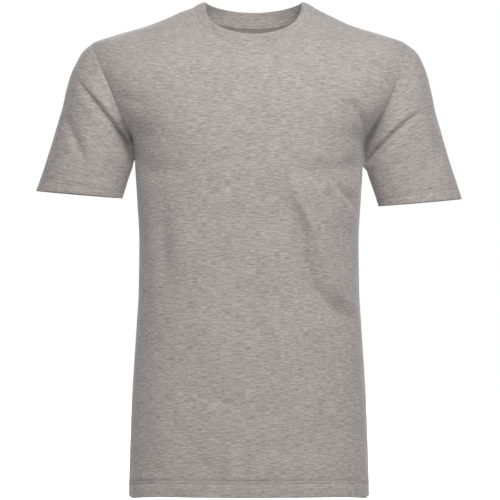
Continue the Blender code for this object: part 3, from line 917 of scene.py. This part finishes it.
class Nodes:
    """A small helper that adds shader nodes and links them by socket name."""

    def __init__(self, tree):
        self.tree = tree

    def add(self, kind, settings=(), **inputs):
        node = self.tree.nodes.new(kind)
        for name, value in dict(settings).items():
            setattr(node, name, value)
        self.fill(node, **inputs)
        return node

    def fill(self, node, **inputs):
        for name, value in inputs.items():
            self.put(node, name.replace("_", " "), value)

    def put(self, node, socket, value):
        target = node.inputs[int(socket)] if socket.isdigit() else node.inputs[socket]
        if isinstance(value, bpy.types.NodeSocket):
            self.tree.links.new(value, target)
        else:
            target.default_value = value

    def math(self, operation, first, second):
        node = self.tree.nodes.new("ShaderNodeMath")
        node.operation = operation
        self.put(node, "0", first)
        self.put(node, "1", second)
        return node.outputs[0]


def new_material(name):
    material = bpy.data.materials.new(name)
    material.use_nodes = True
    tree = material.node_tree
    tree.nodes.clear()
    output = tree.nodes.new("ShaderNodeOutputMaterial")
    shader = tree.nodes.new("ShaderNodeBsdfPrincipled")
    tree.links.new(shader.outputs[0], output.inputs["Surface"])
    return material, Nodes(tree), shader


def streaks(nodes, cloth, length, height, seed, detail=2.0):
    """Noise drawn out along the courses of the knit."""
    shift, stretch = (seed * 3.7, seed * 1.9, 0), (1 / length, 1 / height, 1)
    place = nodes.add("ShaderNodeMapping", Vector=cloth, Location=shift, Scale=stretch).outputs[0]
    flat = {"noise_dimensions": "2D"}
    return nodes.add("ShaderNodeTexNoise", flat, Vector=place, Scale=1.0, Detail=detail, Roughness=0.6).outputs["Fac"]


def marl_cloth(name, colours, wale, course, ribbed=False):
    """Marl knit: pale and dark fibres in short streaks along the courses, over fine loops."""
    material, nodes, shader = new_material(name)
    cloth = nodes.add("ShaderNodeUVMap", {"uv_map": "cloth"}).outputs[0]
    fine = streaks(nodes, cloth, 0.0070, 0.00115, 1)
    medium = streaks(nodes, cloth, 0.0170, 0.0021, 2)
    patch = streaks(nodes, cloth, 0.060, 0.022, 3, detail=1.0)
    mix = nodes.math("ADD", nodes.math("MULTIPLY", fine, 0.52), nodes.math("MULTIPLY", medium, 0.44))
    mix = nodes.math("ADD", mix, nodes.math("MULTIPLY", patch, 0.08))
    ramp = nodes.add("ShaderNodeValToRGB", Fac=mix)
    ramp.color_ramp.elements[0].position = 0.22
    ramp.color_ramp.elements[0].color = (*colours.dark_fibre, 1)
    ramp.color_ramp.elements[1].position = 0.82
    ramp.color_ramp.elements[1].color = (*colours.light_fibre, 1)
    nodes.put(shader, "Base Color", ramp.outputs["Color"])
    split = nodes.add("ShaderNodeSeparateXYZ", Vector=cloth)
    across = nodes.math("SINE", nodes.math("MULTIPLY", split.outputs[0], 2 * math.pi / wale), 0.0)
    up = nodes.math("SINE", nodes.math("MULTIPLY", split.outputs[1], 2 * math.pi / course), 0.0)
    loops = nodes.math("ADD", across, nodes.math("MULTIPLY", up, 0.25 if ribbed else 0.8))
    height = nodes.math("ADD", nodes.math("MULTIPLY", loops, 0.35), nodes.math("MULTIPLY", fine, 1.5))
    bump = nodes.add("ShaderNodeBump", Height=height, Strength=1.0 if ribbed else 0.35, Distance=0.00022)
    nodes.put(shader, "Normal", bump.outputs[0])
    nodes.fill(shader, Roughness=0.92, Specular_IOR_Level=0.18, Sheen_Weight=0.30, Sheen_Roughness=0.45)
    nodes.fill(shader, Subsurface_Weight=0.30, Subsurface_Radius=(1.0, 0.9, 0.85), Subsurface_Scale=0.003)
    return material


def thread_material(name, colour):
    material, nodes, shader = new_material(name)
    place = nodes.add("ShaderNodeTexCoord").outputs["Object"]
    grain = nodes.add("ShaderNodeTexNoise", Vector=place, Scale=900.0)
    ramp = nodes.add("ShaderNodeValToRGB", Fac=grain.outputs["Fac"])
    ramp.color_ramp.elements[0].color = (*(0.75 * part for part in colour), 1)
    ramp.color_ramp.elements[1].color = (*(1.2 * part for part in colour), 1)
    nodes.put(shader, "Base Color", ramp.outputs["Color"])
    nodes.fill(shader, Roughness=0.7, Sheen_Weight=0.15)
    return material


def shared_material(name, make):
    """The named material, made when it is first asked for."""
    return bpy.data.materials.get(name) or make(name)


def jersey_material(colours):
    return shared_material("marl_jersey", lambda name: marl_cloth(name, colours, 0.0011, 0.0009))


def rib_material(colours):
    return shared_material("marl_rib", lambda name: marl_cloth(name, colours, 0.0016, 0.0011, ribbed=True))


def sewing_thread(colours):
    return shared_material("sewing_thread", lambda name: thread_material(name, tuple(colours.thread)))


def settle(piece):
    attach(piece, "root")


def add_jersey(context, build, cuts, node, stitches):
    """Adds the jersey pieces of one kind, each with its rows of stitches."""
    sizes, colours = context.scene.shirt_sizes, context.scene.shirt_colours
    for side, (flat, area) in cuts.items():
        piece, lines = build(side, sizes, jersey_material(colours))
        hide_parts(side + node)
        settle(piece)
        sewn = sew(side + stitches, lines, sizes, sewing_thread(colours))
        settle(sewn)
    return {"FINISHED"}


class SHIRT_OT_body(bpy.types.Operator):
    """Build the front and back panels with their folds, side seams and hems"""

    bl_idname = "shirt.body"
    bl_label = "Front and back"

    def execute(self, context):
        return add_jersey(context, build_panel, PANEL_CUT, "_panel", "_hem_stitches")


class SHIRT_OT_sleeves(bpy.types.Operator):
    """Build both sleeves with their folds, armhole seams and cuffs"""

    bl_idname = "shirt.sleeves"
    bl_label = "Sleeves"

    def execute(self, context):
        return add_jersey(context, build_sleeve, SLEEVE_CUT, "_sleeve", "_cuff_stitches")


class SHIRT_OT_neckband(bpy.types.Operator):
    """Build the folded rib neckband"""

    bl_idname = "shirt.neckband"
    bl_label = "Neckband"

    def execute(self, context):
        sizes, colours = context.scene.shirt_sizes, context.scene.shirt_colours
        piece = build_neckband(sizes, rib_material(colours))
        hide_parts("neckband")
        settle(piece)
        return {"FINISHED"}


def area_light(name, location, target, size, power):
    """A soft light that shines on the shirt and isn't seen itself."""
    light = bpy.data.lights.new(name, "AREA")
    light.shape = "RECTANGLE"
    light.size, light.size_y = size
    light.energy = power
    lamp = bpy.data.objects.new(name, light)
    bpy.context.scene.collection.objects.link(lamp)
    lamp.location = location
    lamp.rotation_euler = (Vector(target) - Vector(location)).to_track_quat("-Z", "Y").to_euler()
    lamp.visible_camera = False


class SHIRT_OT_stage(bpy.types.Operator):
    """Add the pale floor, the soft studio light and the camera"""

    bl_idname = "shirt.stage"
    bl_label = "Stage"

    def execute(self, context):
        colours = context.scene.shirt_colours
        bpy.ops.object.select_all(action="DESELECT")
        bpy.ops.mesh.primitive_plane_add(size=60, location=(0, 0, CAD_BOX[0].z - FLOOR_CLEARANCE))
        floor = context.object
        floor.name = "studio_floor"
        material, nodes, shader = new_material("studio_floor")
        nodes.fill(shader, Base_Color=(*colours.floor, 1), Roughness=1.0, Specular_IOR_Level=0.0)
        nodes.put(shader, "Emission Color", (1, 1, 1, 1))
        seen = nodes.add("ShaderNodeLightPath").outputs["Is Camera Ray"]
        nodes.put(shader, "Emission Strength", nodes.math("MULTIPLY", seen, FLOOR_GLOW))
        floor.data.materials.append(material)
        world = bpy.data.worlds.new("studio")
        world.use_nodes = True
        nodes = Nodes(world.node_tree)
        around = world.node_tree.nodes["Background"]
        around.inputs["Color"].default_value = (1, 1, 1, 1)
        seen = nodes.add("ShaderNodeLightPath").outputs["Is Camera Ray"]
        nodes.put(around, "Strength", nodes.math("MAXIMUM", seen, ROOM_LIGHT))
        context.scene.world = world
        for light in LIGHTS:
            area_light(*light)
        context.scene.view_settings.view_transform = "Standard"
        camera = bpy.data.cameras.new("camera")
        camera.sensor_width = SENSOR_WIDTH_MM
        camera.lens = SENSOR_WIDTH_MM * CAMERA_DISTANCE / VIEW_WIDTH
        holder = bpy.data.objects.new("camera", camera)
        holder.location = (CAMERA_X, -CAMERA_DISTANCE, -CAMERA_DROP)
        holder.rotation_euler = (math.pi / 2, 0, 0)
        context.scene.collection.objects.link(holder)
        context.scene.camera = holder
        return {"FINISHED"}


class SHIRT_PT_panel(bpy.types.Panel):
    """Sizes, colours and building steps of the t-shirt"""

    bl_idname = "SHIRT_PT_panel"
    bl_label = "T-shirt"
    bl_space_type = "VIEW_3D"
    bl_region_type = "UI"
    bl_category = "T-shirt"

    def draw(self, context):
        for group in (context.scene.shirt_sizes, context.scene.shirt_colours):
            for name in group.bl_rna.properties.keys():
                if name not in ("rna_type", "name"):
                    self.layout.prop(group, name)
        for operator in OPERATORS:
            self.layout.operator(operator.bl_idname)


OPERATORS = (SHIRT_OT_body, SHIRT_OT_sleeves, SHIRT_OT_neckband, SHIRT_OT_stage)
CLASSES = (ShirtSizes, ShirtColours, *OPERATORS, SHIRT_PT_panel)


def register():
    for each in CLASSES:
        bpy.utils.register_class(each)
    bpy.types.Scene.shirt_sizes = bpy.props.PointerProperty(type=ShirtSizes)
    bpy.types.Scene.shirt_colours = bpy.props.PointerProperty(type=ShirtColours)


def unregister():
    del bpy.types.Scene.shirt_colours
    del bpy.types.Scene.shirt_sizes
    for each in reversed(CLASSES):
        bpy.utils.unregister_class(each)


def main():
    register()
    bpy.ops.shirt.body()
    bpy.ops.shirt.sleeves()
    bpy.ops.shirt.neckband()
    bpy.ops.shirt.stage()


if __name__ == "__main__":
    main()
